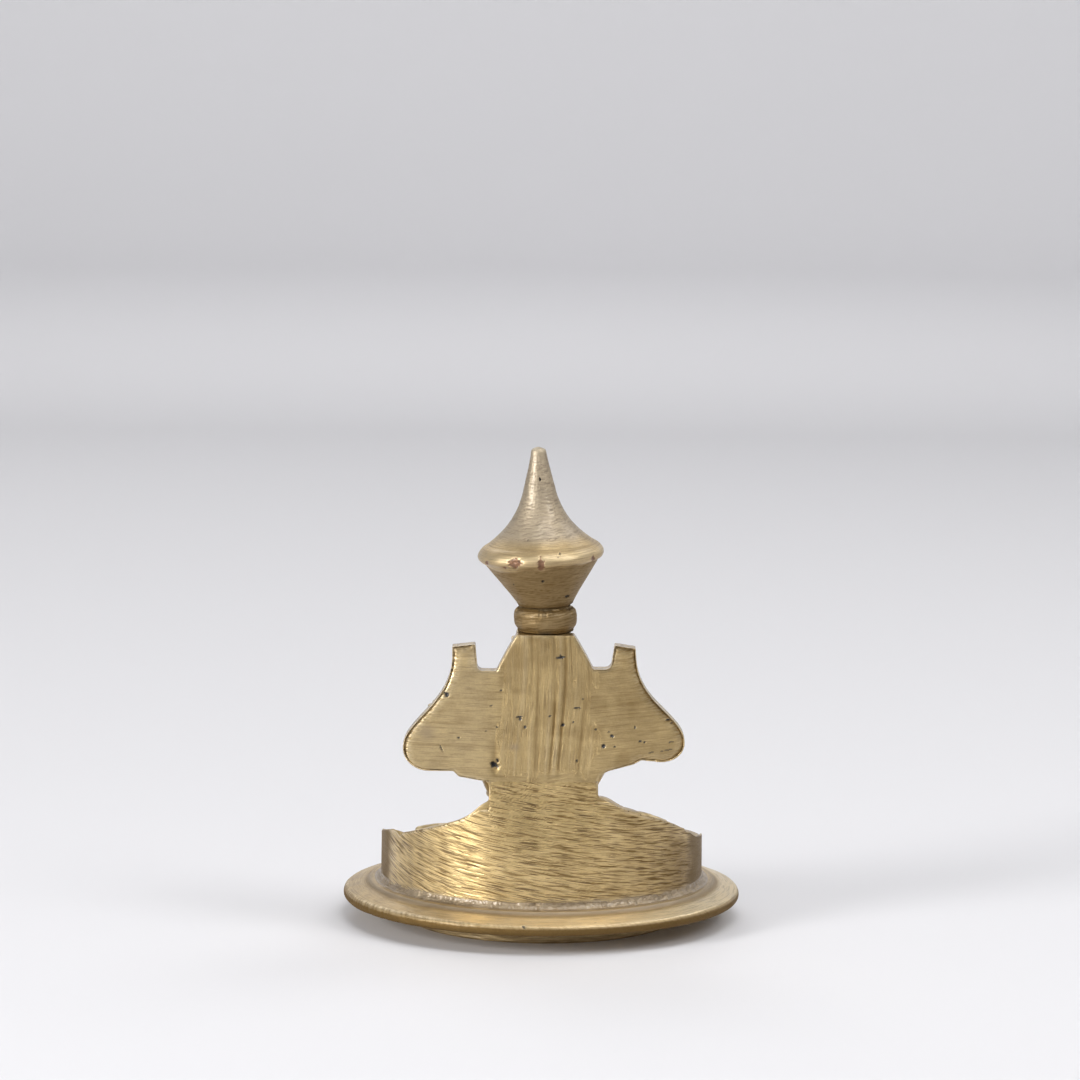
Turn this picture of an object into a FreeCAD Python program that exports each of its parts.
"""Brass statue of a four-armed figure seated in the lotus position on a turned disc.

The figure faces -Y. Its back, at +Y, is filed: round over the seat, flat from the waist up.
Z is up, and the foot rests on Z = 0 under the middle of the disc. Sizes are in millimetres, and
left and right are the figure's own: its left is at +X.
Each piece is a casting or a turning of its own, and is soldered or pinned to its neighbours.
"""

import FreeCAD
import Part

import math
import os

from FreeCAD import Vector

# Turned foot
foot_radius = 31.0
foot_height = 4.4
foot_step_inset = 1.3
foot_step_height = 1.7
foot_recess_radius = 26.0
foot_recess_depth = 1.2
foot_spigot_radius = 12.0
foot_spigot_depth = 1.8

# Turned disc that the figure sits on
disc_radius = 45.0
disc_edge_thickness = 2.6
disc_edge_round = 1.0
disc_rise = 1.9
register_height = 1.6
register_clearance = 0.08

# Solder bead between the disc and the seat
solder_width = 2.3
solder_height = 1.8

# Seat and hips. Crests are heights of the filed back's upper edge above the seat, each at a share of
# the seat's radius out from the middle, and fronts are how far forward the thigh reaches there.
seat_radius = 36.6
plinth_height = 2.6
cavity_radius = 24.0
cavity_depth = 2.0
haunch_tilt_deg = 11.0
haunch_back_depth = 9.0
hip_shares = (0.165, 0.33, 0.43, 0.59, 0.725, 0.847, 0.93, 0.985)
hip_crests_left = (22.6, 23.8, 20.9, 17.9, 15.6, 13.4, 10.0, 6.0)
hip_crests_right = (22.6, 24.9, 23.1, 20.3, 18.1, 15.2, 10.5, 6.0)
thigh_fronts = (9.0, 5.0, 1.5, -3.3, -6.8, -8.5, -6.0, -1.0)
waist_half_width_left = 11.8
waist_half_width_right = 12.4
waist_height = 28.1
armpit_round_left = 1.4
setback_start = 13.0
plate_setback = 3.6

# Folded legs: heights above the seat. Shins and feet are wider than they are high by the flatness
lap_height = 8.4
thigh_height = 5.6
thigh_radius = 8.8
knee_top_left = 10.6
knee_top_right = 12.0
shin_height = 3.7
shin_half_width = 7.2
shin_flatness = 0.64
shin_overlap = 3.0
ankle_half_width = 4.4
sole_height_left = 14.0
sole_height_right = 9.6
sole_drop_left = 4.8
sole_drop_right = 2.6
foot_length = 16.0
foot_half_width = 4.8

# Back plate: trunk, head and raised arms cut from one flat web, on top of the waist
plate_thickness = 4.5
plate_height = 32.7
elbow_reach_left = 30.9
elbow_reach_right = 31.4
prong_reach_left = 20.15
prong_reach_right = 20.55
prong_width_left = 5.2
prong_width_right = 4.9
prong_height = 30.6
web_height_left = 24.7
web_height_right = 25.2
head_seat_half_width = 6.4

# Torso
torso_half_width = 11.8
torso_half_depth = 12.2
shoulder_half_width = 14.2
shoulder_height = 12.2
neck_radius = 5.8

# Arms, and what the raised hands hold
arm_radius = 4.2
wrist_radius = 2.6
hand_height = 13.4
hand_stack = 2.7
hand_half_width = 4.0
emblem_height = 6.2
emblem_radius = 2.3

# Head, collar, crown and the pin through them
head_height = 18.8
head_half_width = 9.0
head_half_depth = 9.1
collar_radius = 7.05
collar_neck = 6.3
collar_height = 5.7
crown_offset = -0.4
crown_lean_deg = 3.1
crown_nod_deg = 1.0
rim_radius = 14.1
rim_height = 11.9
crown_height = 35.4
tip_radius = 1.9
pin_radius = 1.7
pin_clearance = 0.05
pin_depth_in_head = 8.0
pin_depth_in_crown = 7.0

# Heights and depths that follow from the sizes above
disc_bottom = foot_height
disc_edge_top = disc_bottom + disc_edge_thickness
seat_z = disc_edge_top + disc_rise
waist_z = seat_z + waist_height
collar_z = waist_z + plate_height
crown_z = collar_z + collar_height
chin_z = collar_z - head_height
shoulder_z = waist_z + shoulder_height
plate_back = seat_radius - plate_setback
plate_front = plate_back - plate_thickness
spine_y = plate_front - 6.5
collar_axis_y = plate_back - collar_radius
REACH = 4 * disc_radius


def save(shape, node):
    """Write one piece, as its own node, after keeping only its real solids."""
    biggest = max(solid.Volume for solid in shape.Solids)
    kept = [solid for solid in shape.Solids if solid.Volume > 0.02 * biggest]
    piece = kept[0] if len(kept) == 1 else Part.makeCompound(kept)
    piece.exportStep("parts/" + node + ".step")
    box = piece.optimalBoundingBox()
    size = f"x {box.XMin:6.1f} {box.XMax:6.1f} y {box.YMin:6.1f} {box.YMax:6.1f} z {box.ZMin:6.1f} {box.ZMax:6.1f}"
    print(f"{node:16s} solids {len(kept)} valid {piece.isValid()} volume {piece.Volume:8.1f} {size}")


def curve(*poles):
    """A Bezier edge from its first pole to its last."""
    bezier = Part.BezierCurve()
    bezier.setPoles([Vector(*pole) for pole in poles])
    return bezier.toShape()


def line(a, b):
    return Part.LineSegment(Vector(*a), Vector(*b)).toShape()


def arc(a, b, c):
    """A circular edge from a to c through b."""
    return Part.Arc(Vector(*a), Vector(*b), Vector(*c)).toShape()


def chain(points):
    """Straight edges from point to point."""
    return [line(a, b) for a, b in zip(points, points[1:])]


def turned(edges):
    """A solid of revolution about Z, from the edges of a closed half profile in X and Z."""
    face = Part.Face(Part.Wire(edges))
    return face.revolve(Vector(0, 0, 0), Vector(0, 0, 1), 360)


def cylinder(radius, low, high, x=0.0, y=0.0):
    return Part.makeCylinder(radius, high - low, Vector(x, y, low))


def slab(y_low, y_high, z_low, z_high):
    """A block that spans the whole width of the object."""
    return Part.makeBox(2 * REACH, y_high - y_low, z_high - z_low, Vector(-REACH, y_low, z_low))


def upright(edges, y_low, y_high):
    """A solid cut from a sheet: a closed outline in X and Z, thick along Y."""
    face = Part.Face(Part.Wire(edges))
    face.translate(Vector(0, y_low, 0))
    return face.extrude(Vector(0, y_high - y_low, 0))


def ring(centre, across, up, half_across, half_up, squareness=2.0, count=16, half_behind=None):
    """A closed smooth wire: a superellipse about a centre, in the plane of two unit directions."""
    points = []
    for k in range(count):
        turn = 2 * math.pi * k / count
        c, s = math.cos(turn), math.sin(turn)
        reach = half_across if c < 0 or half_behind is None else half_behind
        along = math.copysign(abs(c) ** (2 / squareness), c) * reach
        above = math.copysign(abs(s) ** (2 / squareness), s) * half_up
        points.append(centre + across * along + up * above)
    spline = Part.BSplineCurve()
    spline.interpolate(points, PeriodicFlag=True)
    return Part.Wire([spline.toShape()])


def level_loft(sections, squareness=2.0):
    """A smooth solid through level ovals given as (x, y, z, half_width, half_depth)."""
    across, up = Vector(1, 0, 0), Vector(0, 1, 0)
    wires = [ring(Vector(x, y, z), across, up, a, b, squareness) for x, y, z, a, b in sections]
    return Part.makeLoft(wires, True, False)


def limb(stations, flatness=1.0):
    """A smooth solid through ovals (x, y, z, radius) square to their path, closed in a dome at both ends."""
    stations = domed(stations)
    centres = [Vector(*station[:3]) for station in stations]
    wires = []
    for i, station in enumerate(stations):
        along = centres[min(i + 1, len(centres) - 1)] - centres[max(i - 1, 0)]
        along.normalize()
        across = along.cross(Vector(0, 0, 1))
        if across.Length < 0.05:
            across = Vector(1, 0, 0)
        across.normalize()
        radius = station[3]
        wires.append(ring(centres[i], across, across.cross(along), radius, radius * flatness, count=12))
    return Part.makeLoft(wires, True, False)


def domed(stations):
    """The stations of a limb with two smaller ones added past each end."""
    def tips(last, inner):
        step = Vector(*last[:3]) - Vector(*inner[:3])
        step.normalize()
        out = []
        for along, share in ((0.62, 0.78), (0.93, 0.36)):
            centre = Vector(*last[:3]) + step * (last[3] * along)
            out.append((centre.x, centre.y, centre.z, last[3] * share))
        return out
    return tips(stations[0], stations[1])[::-1] + list(stations) + tips(stations[-1], stations[-2])


def ball(x, y, z, half_x, half_y, half_z):
    """An ellipsoid, with its axes on X, Y and Z."""
    unit = Part.makeSphere(1.0)
    matrix = FreeCAD.Matrix()
    matrix.scale(half_x, half_y, half_z)
    shape = unit.transformGeometry(matrix)
    shape.translate(Vector(x, y, z))
    return shape


def make_foot():
    """The foot under the disc: a step at its top, and a shallow recess so that it stands on its rim."""
    inset = foot_radius - foot_step_inset
    step_z = foot_height - foot_step_height
    corners = [
        (0, foot_recess_depth),
        (foot_recess_radius - foot_recess_depth, foot_recess_depth),
        (foot_recess_radius, 0),
        (foot_radius - 0.4, 0),
        (foot_radius, 0.4),
        (foot_radius, step_z - 0.4),
        (foot_radius - 0.4, step_z),
        (inset, step_z),
        (inset, foot_height),
        (0, foot_height),
    ]
    points = [(r, 0, z) for r, z in corners]
    foot = turned(chain(points + points[:1]))
    socket_radius = foot_spigot_radius + register_clearance
    return foot.cut(cylinder(socket_radius, foot_height - foot_spigot_depth, foot_height + 1))


def make_disc():
    """The disc: a rounded edge, a top that rises to the seat, a register above and a spigot below."""
    r, low, top, edge = disc_radius, disc_bottom, disc_edge_top, disc_edge_round
    land = seat_radius + solder_width
    register = cavity_radius - register_clearance
    register_top = seat_z + register_height
    edges = [
        line((0, 0, low), (r - edge, 0, low)),
        arc((r - edge, 0, low), (r - 0.293 * edge, 0, low + 0.293 * edge), (r, 0, low + edge)),
        line((r, 0, low + edge), (r, 0, top - edge)),
        arc((r, 0, top - edge), (r - 0.293 * edge, 0, top - 0.293 * edge), (r - edge, 0, top)),
        curve((r - edge, 0, top), (r - 3.2 * edge, 0, top + 0.25 * disc_rise), (land, 0, seat_z)),
        line((land, 0, seat_z), (register, 0, seat_z)),
        line((register, 0, seat_z), (register, 0, register_top - 0.4)),
        line((register, 0, register_top - 0.4), (register - 0.4, 0, register_top)),
        line((register - 0.4, 0, register_top), (0, 0, register_top)),
        line((0, 0, register_top), (0, 0, low)),
    ]
    spigot = cylinder(foot_spigot_radius, low - foot_spigot_depth + 0.2, low + 0.5)
    return turned(edges).fuse(spigot).removeSplitter()


def make_solder():
    """The hollow-faced bead of solder in the corner between disc and seat."""
    inner, outer, top = seat_radius, seat_radius + solder_width, seat_z + solder_height
    middle = (inner + 0.3 * solder_width, 0, seat_z + 0.3 * solder_height)
    return turned([
        line((inner, 0, seat_z), (outer, 0, seat_z)),
        arc((outer, 0, seat_z), middle, (inner, 0, top)),
        line((inner, 0, top), (inner, 0, seat_z)),
    ])


def make_haunches():
    """The hips as one broad form, lofted from knee to knee, with the crest of each oval on the filed back."""
    tilt = math.radians(haunch_tilt_deg)
    across = Vector(0, math.cos(tilt), math.sin(tilt))
    up = Vector(0, -math.sin(tilt), math.cos(tilt))
    left = list(zip(hip_shares, hip_crests_left, thigh_fronts))
    outward = [-share for share in hip_shares]
    right = list(zip(outward, hip_crests_right, thigh_fronts))
    wires = []
    for share, crest, front in right[::-1] + [(0.0,) + left[0][1:]] + left:
        back = seat_radius * math.sqrt(1 - share ** 2)
        height = crest - 0.6
        centre = Vector(share * seat_radius, back, seat_z + crest) - up * height
        half_front = (centre.y - front) / math.cos(tilt)
        wires.append(ring(centre, across, up, half_front, height, 2.3, 20, haunch_back_depth))
    return Part.makeLoft(wires, True, False).common(cylinder(seat_radius, seat_z, waist_z))


def make_setback():
    """The metal filed off behind the waist, where the round back runs up into the flat one."""
    start_z = seat_z + setback_start
    reach = seat_radius + 5
    lift = 0.45 * (waist_z - start_z)
    edges = [
        curve((0, seat_radius, start_z), (0, seat_radius, start_z + lift),
              (0, plate_back, waist_z - lift), (0, plate_back, waist_z)),
        line((0, plate_back, waist_z), (0, plate_back, waist_z + 5)),
        line((0, plate_back, waist_z + 5), (0, reach, waist_z + 5)),
        line((0, reach, waist_z + 5), (0, reach, start_z)),
        line((0, reach, start_z), (0, seat_radius, start_z)),
    ]
    face = Part.Face(Part.Wire(edges))
    face.translate(Vector(-REACH, 0, 0))
    return face.extrude(Vector(2 * REACH, 0, 0))


def make_tongue():
    """The flat tongue at the waist that the back plate stands on, with a rounded armpit on the left."""
    left, right, top = waist_half_width_left, -waist_half_width_right, waist_z
    low = seat_z + 8.0
    flare = armpit_round_left
    edges = [
        line((right, 0, low), (left, 0, low)),
        line((left, 0, low), (left, 0, top - flare)),
        curve((left, 0, top - flare), (left, 0, top - 0.2), (left + flare, 0, top)),
        line((left + flare, 0, top), (right, 0, top)),
        line((right, 0, top), (right, 0, low)),
    ]
    tongue = upright(edges, plate_front, seat_radius + 1)
    return tongue.common(cylinder(seat_radius, seat_z, waist_z))


def make_lap():
    """The low mound of the two thighs and the cloth between the knees."""
    half_width, half_depth = 0.915 * seat_radius, 0.845 * seat_radius
    mound = ball(0, -0.11 * seat_radius, seat_z, half_width, half_depth, lap_height)
    return mound.common(slab(-REACH, REACH, seat_z, REACH))


def make_leg(side, over, knee_top, sole_height, sole_drop):
    """One thigh, knee, shin and foot. The shin runs round the front, and the foot lies on the other thigh."""
    out, front = side * seat_radius, -seat_radius
    w, ankle, foot, low = shin_half_width, ankle_half_width, foot_half_width, seat_z + shin_height
    thigh_z, r, sole_z = seat_z + thigh_height, thigh_radius, seat_z + sole_height
    thigh = limb([
        (0.250 * out, -0.62 * front, thigh_z + 2.6, r + 1.4),
        (0.480 * out, -0.36 * front, thigh_z + 0.2, r + 0.3),
        (0.690 * out, -0.10 * front, thigh_z - 2.6, r - 0.5),
    ])
    knee = ball(0.845 * out, -0.10 * front, seat_z + knee_top - 9.0, 9.8, 9.6, 9.0)
    stations = [
        (0.775 * out, 0.10 * front, low, w),
        (0.650 * out, 0.36 * front, low, w + 0.3),
        (0.400 * out, 0.575 * front, low + 0.3 + 0.2 * over, w),
        (0.100 * out, 0.645 * front + 0.7 * over, low + 0.9 + 0.7 * over, 0.86 * w),
        (-0.130 * out, 0.550 * front + 0.8 * over, low + 1.8 + 0.9 * over, 0.72 * w),
        (-0.260 * out, 0.400 * front + 0.4 * over, 0.35 * (low + over) + 0.65 * sole_z, ankle),
    ]
    heel = Vector(-0.345 * out, 0.290 * front, sole_z)
    toes = Vector(-0.700 * out, -0.020 * front, sole_z - sole_drop)
    along = toes - heel
    along.normalize()
    for share, width in ((0.0, 0.96), (0.28, 0.92), (0.58, 1.10), (0.80, 0.92)):
        at = heel + along * (share * foot_length)
        stations.append((at.x, at.y, at.z, width * foot))
    leg = joined([thigh, knee, limb(stations, shin_flatness)])
    return leg.common(cylinder(seat_radius, seat_z, waist_z))


def make_lower_body():
    """The lower casting: plinth, filed hips and folded legs, with a round hollow underneath."""
    body = joined([
        cylinder(seat_radius, seat_z, seat_z + plinth_height),
        make_lap(),
        make_haunches(),
        make_tongue(),
        make_leg(1, 0.0, knee_top_left, sole_height_left, sole_drop_left),
        make_leg(-1, shin_overlap, knee_top_right, sole_height_right, sole_drop_right),
    ]).cut(make_setback())
    return body.cut(cylinder(cavity_radius, seat_z - 1, seat_z + cavity_depth))


def make_back_plate():
    """The flat web: waist, elbows, raised hands and head in one outline."""
    z = waist_z
    top, shelf_left, shelf_right = z + prong_height, z + web_height_left, z + web_height_right
    el, er, pl, pr = elbow_reach_left, -elbow_reach_right, prong_reach_left, -prong_reach_right
    il, ir = pl - prong_width_left, pr + prong_width_right
    hl, hr = crown_offset + head_seat_half_width, crown_offset - head_seat_half_width
    wl, wr = waist_half_width_left, -waist_half_width_right
    nl, nr = wl + 6.7, wr - 7.6
    edges = [
        line((wr, 0, z), (wl + armpit_round_left, 0, z)),
        # Left: front elbow, notch, rear elbow, raised hand
        line((wl + armpit_round_left, 0, z), (nl, 0, z + 0.9)),
        line((nl, 0, z + 0.9), (nl + 1.2, 0, z + 2.1)),
        line((nl + 1.2, 0, z + 2.1), (el - 6.3, 0, z + 2.1)),
        curve((el - 6.3, 0, z + 2.1), (el - 2.5, 0, z + 2.1), (el, 0, z + 4.4), (el, 0, z + 7.4)),
        curve((el, 0, z + 7.4), (el, 0, z + 13.2), (pl + 0.8, 0, z + 16.6), (pl, 0, top - 3.8)),
        line((pl, 0, top - 3.8), (pl, 0, top - 0.6)),
        line((pl, 0, top - 0.6), (il, 0, top)),
        line((il, 0, top), (il - 0.4, 0, shelf_left + 1.1)),
        curve((il - 0.4, 0, shelf_left + 1.1), (il - 0.6, 0, shelf_left), (il - 1.6, 0, shelf_left)),
        line((il - 1.6, 0, shelf_left), (hl + 4.3, 0, shelf_left)),
        # Head
        curve((hl + 4.3, 0, shelf_left), (hl + 3.0, 0, shelf_left + 3.1),
              (hl + 1.3, 0, z + plate_height - 2.1), (hl, 0, z + plate_height)),
        line((hl, 0, z + plate_height), (hr, 0, z + plate_height)),
        curve((hr, 0, z + plate_height), (hr - 1.3, 0, z + plate_height - 2.1),
              (hr - 2.8, 0, shelf_right + 3.0), (hr - 4.2, 0, shelf_right)),
        # Right: raised hand, rear elbow, notch, front elbow
        line((hr - 4.2, 0, shelf_right), (ir + 2.1, 0, shelf_right)),
        curve((ir + 2.1, 0, shelf_right), (ir + 0.8, 0, shelf_right + 0.1),
              (ir + 0.6, 0, shelf_right + 1.4)),
        line((ir + 0.6, 0, shelf_right + 1.4), (ir, 0, top)),
        line((ir, 0, top), (pr + 0.2, 0, top - 0.7)),
        line((pr + 0.2, 0, top - 0.7), (pr, 0, top - 3.4)),
        curve((pr, 0, top - 3.4), (pr - 0.9, 0, z + 17.2), (er, 0, z + 14.8), (er, 0, z + 8.9)),
        curve((er, 0, z + 8.9), (er, 0, z + 6.2), (er + 2.6, 0, z + 4.4), (er + 5.5, 0, z + 4.5)),
        line((er + 5.5, 0, z + 4.5), (nr - 1.8, 0, z + 4.9)),
        line((nr - 1.8, 0, z + 4.9), (nr, 0, z + 3.9)),
        line((nr, 0, z + 3.9), (wr - 2.5, 0, z + 2.5)),
        curve((wr - 2.5, 0, z + 2.5), (wr - 0.4, 0, z + 1.8), (wr, 0, z)),
    ]
    return upright(edges, plate_front, plate_back)


def in_front(shape):
    """The part of a shape that lies in front of the back plate."""
    return shape.common(slab(-REACH, plate_front, 0, REACH))


def make_torso(others):
    """Belly, chest, shoulders and neck, set against the front of the plate."""
    w, d, s, n = torso_half_width, torso_half_depth, shoulder_half_width, neck_radius
    y, z, top = spine_y, waist_z, shoulder_z
    form = level_loft([
        (0, y - 2.0, z - 17.0, w - 1.2, d - 2.8),
        (0, y - 2.0, z - 13.0, w - 0.1, d - 0.7),
        (0, y - 2.0, z - 8.5, w, d),
        (0, y - 1.2, z - 4.0, w - 0.5, d - 1.2),
        (0, y - 0.3, z, w - 0.5, d - 2.4),
        (0, y, top - 7.7, w + 0.9, d - 2.6),
        (0, y, top - 3.2, s, d - 2.5),
        (0, y + 0.3, top, s - 0.6, d - 3.6),
        (0, y + 0.6, top + 2.4, s - 5.0, d - 5.0),
        (0, y + 0.6, top + 4.4, n + 0.5, n + 0.5),
        (0, y + 0.6, top + 7.8, n, n),
    ], 2.2)
    return trimmed(in_front(form), others)


def joined(pieces):
    """One solid from pieces that overlap."""
    whole = pieces[0]
    for piece in pieces[1:]:
        whole = whole.fuse(piece)
    return whole


def trimmed(shape, others):
    """A piece with the space of its neighbours taken out, and only its largest solid kept."""
    for other in others:
        shape = shape.cut(other)
    return max(shape.Solids, key=lambda solid: solid.Volume)


def make_head(others):
    """The head with its nose and long ears, flat at the back and level under the collar."""
    w, d, y, low, h = head_half_width, head_half_depth, spine_y, chin_z, head_height
    skull = level_loft([
        (0, y - 1.6, low - 0.02 * h, 0.38 * w, 0.40 * d),
        (0, y - 1.8, low + 0.075 * h, 0.66 * w, 0.70 * d),
        (0, y - 1.4, low + 0.21 * h, 0.86 * w, 0.91 * d),
        (0, y - 0.8, low + 0.40 * h, 0.99 * w, d),
        (0, y - 0.2, low + 0.585 * h, w, d),
        (0, y + 1.2, low + 0.755 * h, 0.90 * w, 0.86 * d),
        (0, y + 2.8, low + 0.885 * h, 0.755 * w, 0.74 * d),
        (0, collar_axis_y - 0.3, collar_z, head_seat_half_width, head_seat_half_width),
    ], 2.15)
    nose = limb([
        (0, y - d - 0.1, low + 0.51 * h, 0.75),
        (0, y - d - 1.0, low + 0.415 * h, 0.95),
        (0, y - d - 1.4, low + 0.335 * h, 1.25),
    ])
    pieces = [skull, nose]
    for side in (1, -1):
        pieces.append(ball(side * (w + 0.1), y + 0.6, low + 0.405 * h, 1.3, 2.5, 3.6))
        pieces.append(ball(side * (w - 0.2), y + 0.2, low + 0.225 * h, 1.5, 1.6, 2.2))
    head = in_front(joined(pieces)).common(slab(-REACH, REACH, 0, collar_z))
    return trimmed(head, others)


def make_rear_arm(side, reach, prong, others):
    """A raised arm in front of the plate: upper arm to the elbow, forearm up, and the hand under its emblem."""
    r, w = arm_radius, wrist_radius
    y, z = plate_front - 2.4, waist_z
    shoulder_x, hand_x = shoulder_half_width - 1.6, prong - 2.5
    arm = joined([
        limb([
            (side * shoulder_x, y - 2.2, shoulder_z - 0.2, r + 0.2),
            (side * 0.5 * (shoulder_x + reach - 5.4), y - 0.8, shoulder_z - 2.4, r - 0.1),
            (side * (reach - 7.1), y - 0.2, shoulder_z - 3.4, r - 0.5),
        ]),
        limb([
            (side * (reach - 5.6), y, z + 8.9, r - 0.1),
            (side * (0.58 * (reach - 5.6) + 0.42 * hand_x), y - 0.2, z + 13.5, r - 0.6),
            (side * (hand_x + 1.8), y - 0.5, z + 17.3, w + 0.1),
        ]),
        limb([
            (side * (hand_x + 1.6), y - 0.8, z + 17.5, w + 0.3),
            (side * (hand_x + 0.6), y - 1.3, z + 19.3, w + 0.7),
            (side * (hand_x + 0.1), y - 1.4, z + 20.7, w + 0.1),
        ]),
    ])
    return trimmed(in_front(arm), others)


def make_front_arm(side, over, others):
    """A lowered arm: shoulder, elbow by the ribs, forearm down to the lap, and the hand with its palm up."""
    r, w, h = arm_radius - 0.1, wrist_radius, hand_half_width
    x, y, z = shoulder_half_width, spine_y, waist_z
    palm = seat_z + hand_height + over
    arm = joined([
        limb([
            (side * (x - 1.6), y - 1.2, shoulder_z - 0.3, r + 0.3),
            (side * (x - 0.4), y - 3.6, shoulder_z - 3.6, r),
            (side * (x - 1.0), y - 6.6, shoulder_z - 5.6, r - 0.4),
        ]),
        limb([
            (side * (x - 1.5), y - 7.6, z + 6.0, r),
            (side * (x - 4.9), y - 12.8, 0.45 * (z + 6.0) + 0.55 * palm, r - 0.6),
            (side * (x - 6.6), y - 16.6, palm + 2.2, w + 0.1),
        ]),
        limb([
            (side * (x - 6.9), y - 17.0, palm + 1.7, w + 0.5),
            (side * (x - 10.4), y - 19.6, palm + 0.3, h),
            (side * (x - 17.0), y - 21.0, palm, h - 0.5),
            (side * (x - 20.6), y - 21.2, palm - 0.2, h - 1.3),
        ], 0.52),
    ])
    return trimmed(arm, others)


def make_drum_emblem(side, prong, others):
    """The hourglass hand drum, upright on the palm."""
    r, h = emblem_radius, emblem_height
    half = [(0, 0, 0), (r - 0.3, 0, 0), (r, 0, 0.3), (r, 0, 0.9), (0.45 * r, 0, 0.5 * h)]
    other = [(r, 0, h - 0.9), (r, 0, h - 0.3), (r - 0.3, 0, h), (0, 0, h), (0, 0, 0)]
    drum = turned(chain(half + other))
    drum.translate(Vector(side * (prong - 2.5), plate_front - r + 0.2, waist_z + 21.9))
    return trimmed(in_front(drum), others)


def make_flame_emblem(side, prong, others):
    """The bowl with its flame."""
    r, h = emblem_radius, emblem_height
    x, y, low = side * (prong - 2.5), plate_front - r + 0.2, waist_z + 21.9
    flame = level_loft([
        (x, y, low, 0.62 * r, 0.62 * r),
        (x, y, low + 0.14 * h, r, r),
        (x, y, low + 0.30 * h, 0.86 * r, 0.86 * r),
        (x - side * 0.3, y, low + 0.56 * h, 0.68 * r, 0.6 * r),
        (x + side * 0.2, y, low + 0.80 * h, 0.36 * r, 0.32 * r),
        (x, y, low + h, 0.10 * r, 0.10 * r),
    ])
    return trimmed(in_front(flame), others)


def pin_bore(low, high):
    return cylinder(pin_radius + pin_clearance, low, high, crown_offset, collar_axis_y)


def make_collar():
    """The round collar, hollow for the pin."""
    n, r, h = collar_neck, collar_radius, collar_height
    edges = [
        line((0, 0, 0), (n, 0, 0)),
        curve((n, 0, 0), (n + 0.1, 0, 0.30 * h), (r, 0, 0.34 * h), (r, 0, 0.58 * h)),
        curve((r, 0, 0.58 * h), (r, 0, 0.86 * h), (n, 0, 0.84 * h), (n, 0, h)),
        line((n, 0, h), (0, 0, h)),
        line((0, 0, h), (0, 0, 0)),
    ]
    collar = turned(edges)
    collar.translate(Vector(crown_offset, collar_axis_y, collar_z))
    return collar.cut(pin_bore(collar_z - 1, crown_z + 1))


def make_crown():
    """The crown: a cone that widens to a round rim, and a hollow-sided spire that leans a little."""
    n, rr, rz, h, t = collar_neck, rim_radius, rim_height, crown_height, tip_radius
    sink = 1.2
    spire_z, spire_r = rz + 13.6, 2 * t
    edges = [
        line((0, 0, -sink), (n, 0, -sink)),
        line((n, 0, -sink), (n, 0, 0.4)),
        curve((n, 0, 0.4), (n + 0.3, 0, 1.8), (rr - 4.2, 0, rz - 5.9), (rr - 0.9, 0, rz - 1.4)),
        curve((rr - 0.9, 0, rz - 1.4), (rr + 0.4, 0, rz - 0.2),
              (rr + 0.3, 0, rz + 0.6), (rr - 1.5, 0, rz + 1.8)),
        curve((rr - 1.5, 0, rz + 1.8), (0.56 * rr, 0, rz + 5.4),
              (spire_r + 1.4, 0, rz + 8.4), (spire_r, 0, spire_z)),
        curve((spire_r, 0, spire_z), (spire_r - 0.6, 0, spire_z + 2.8),
              (t + 0.4, 0, h - 3.9), (t, 0, h - 1.6)),
        curve((t, 0, h - 1.6), (t - 0.2, 0, h - 0.4), (0.5 * t, 0, h), (0, 0, h)),
        line((0, 0, h), (0, 0, -sink)),
    ]
    crown = turned(edges)
    crown.rotate(Vector(0, 0, 0), Vector(0, 1, 0), crown_lean_deg)
    crown.rotate(Vector(0, 0, 0), Vector(1, 0, 0), -crown_nod_deg)
    crown.translate(Vector(crown_offset, collar_axis_y, crown_z))
    crown = crown.common(slab(-REACH, REACH, crown_z, REACH))
    return crown.cut(pin_bore(crown_z - 1, crown_z + pin_depth_in_crown))


def make_pin():
    """The straight pin from the head, through the collar, into the crown."""
    low, high = collar_z - pin_depth_in_head, crown_z + pin_depth_in_crown
    return cylinder(pin_radius, low, high, crown_offset, collar_axis_y)


def main():
    os.makedirs("parts", exist_ok=True)
    lower = make_lower_body()
    torso = make_torso([lower])
    head = make_head([torso]).cut(pin_bore(collar_z - pin_depth_in_head, collar_z + 1))
    rear_left = make_rear_arm(1, elbow_reach_left, prong_reach_left, [torso, head])
    rear_right = make_rear_arm(-1, elbow_reach_right, prong_reach_right, [torso, head])
    front_left = make_front_arm(1, 0.0, [torso, lower, rear_left, head])
    front_right = make_front_arm(-1, hand_stack, [torso, lower, rear_right, head, front_left])
    save(make_foot(), "foot_ring")
    save(make_disc(), "base_disc")
    save(make_solder(), "solder_bead")
    save(lower, "lower_body")
    save(make_back_plate(), "back_plate")
    save(torso, "torso")
    save(head, "head")
    save(rear_left, "rear_arm_left")
    save(rear_right, "rear_arm_right")
    save(front_left, "front_arm_left")
    save(front_right, "front_arm_right")
    save(make_flame_emblem(1, prong_reach_left, [rear_left, head]), "emblem_flame")
    save(make_drum_emblem(-1, prong_reach_right, [rear_right, head]), "emblem_drum")
    save(make_collar(), "crown_collar")
    save(make_crown(), "crown")
    save(make_pin(), "crown_pin")


main()
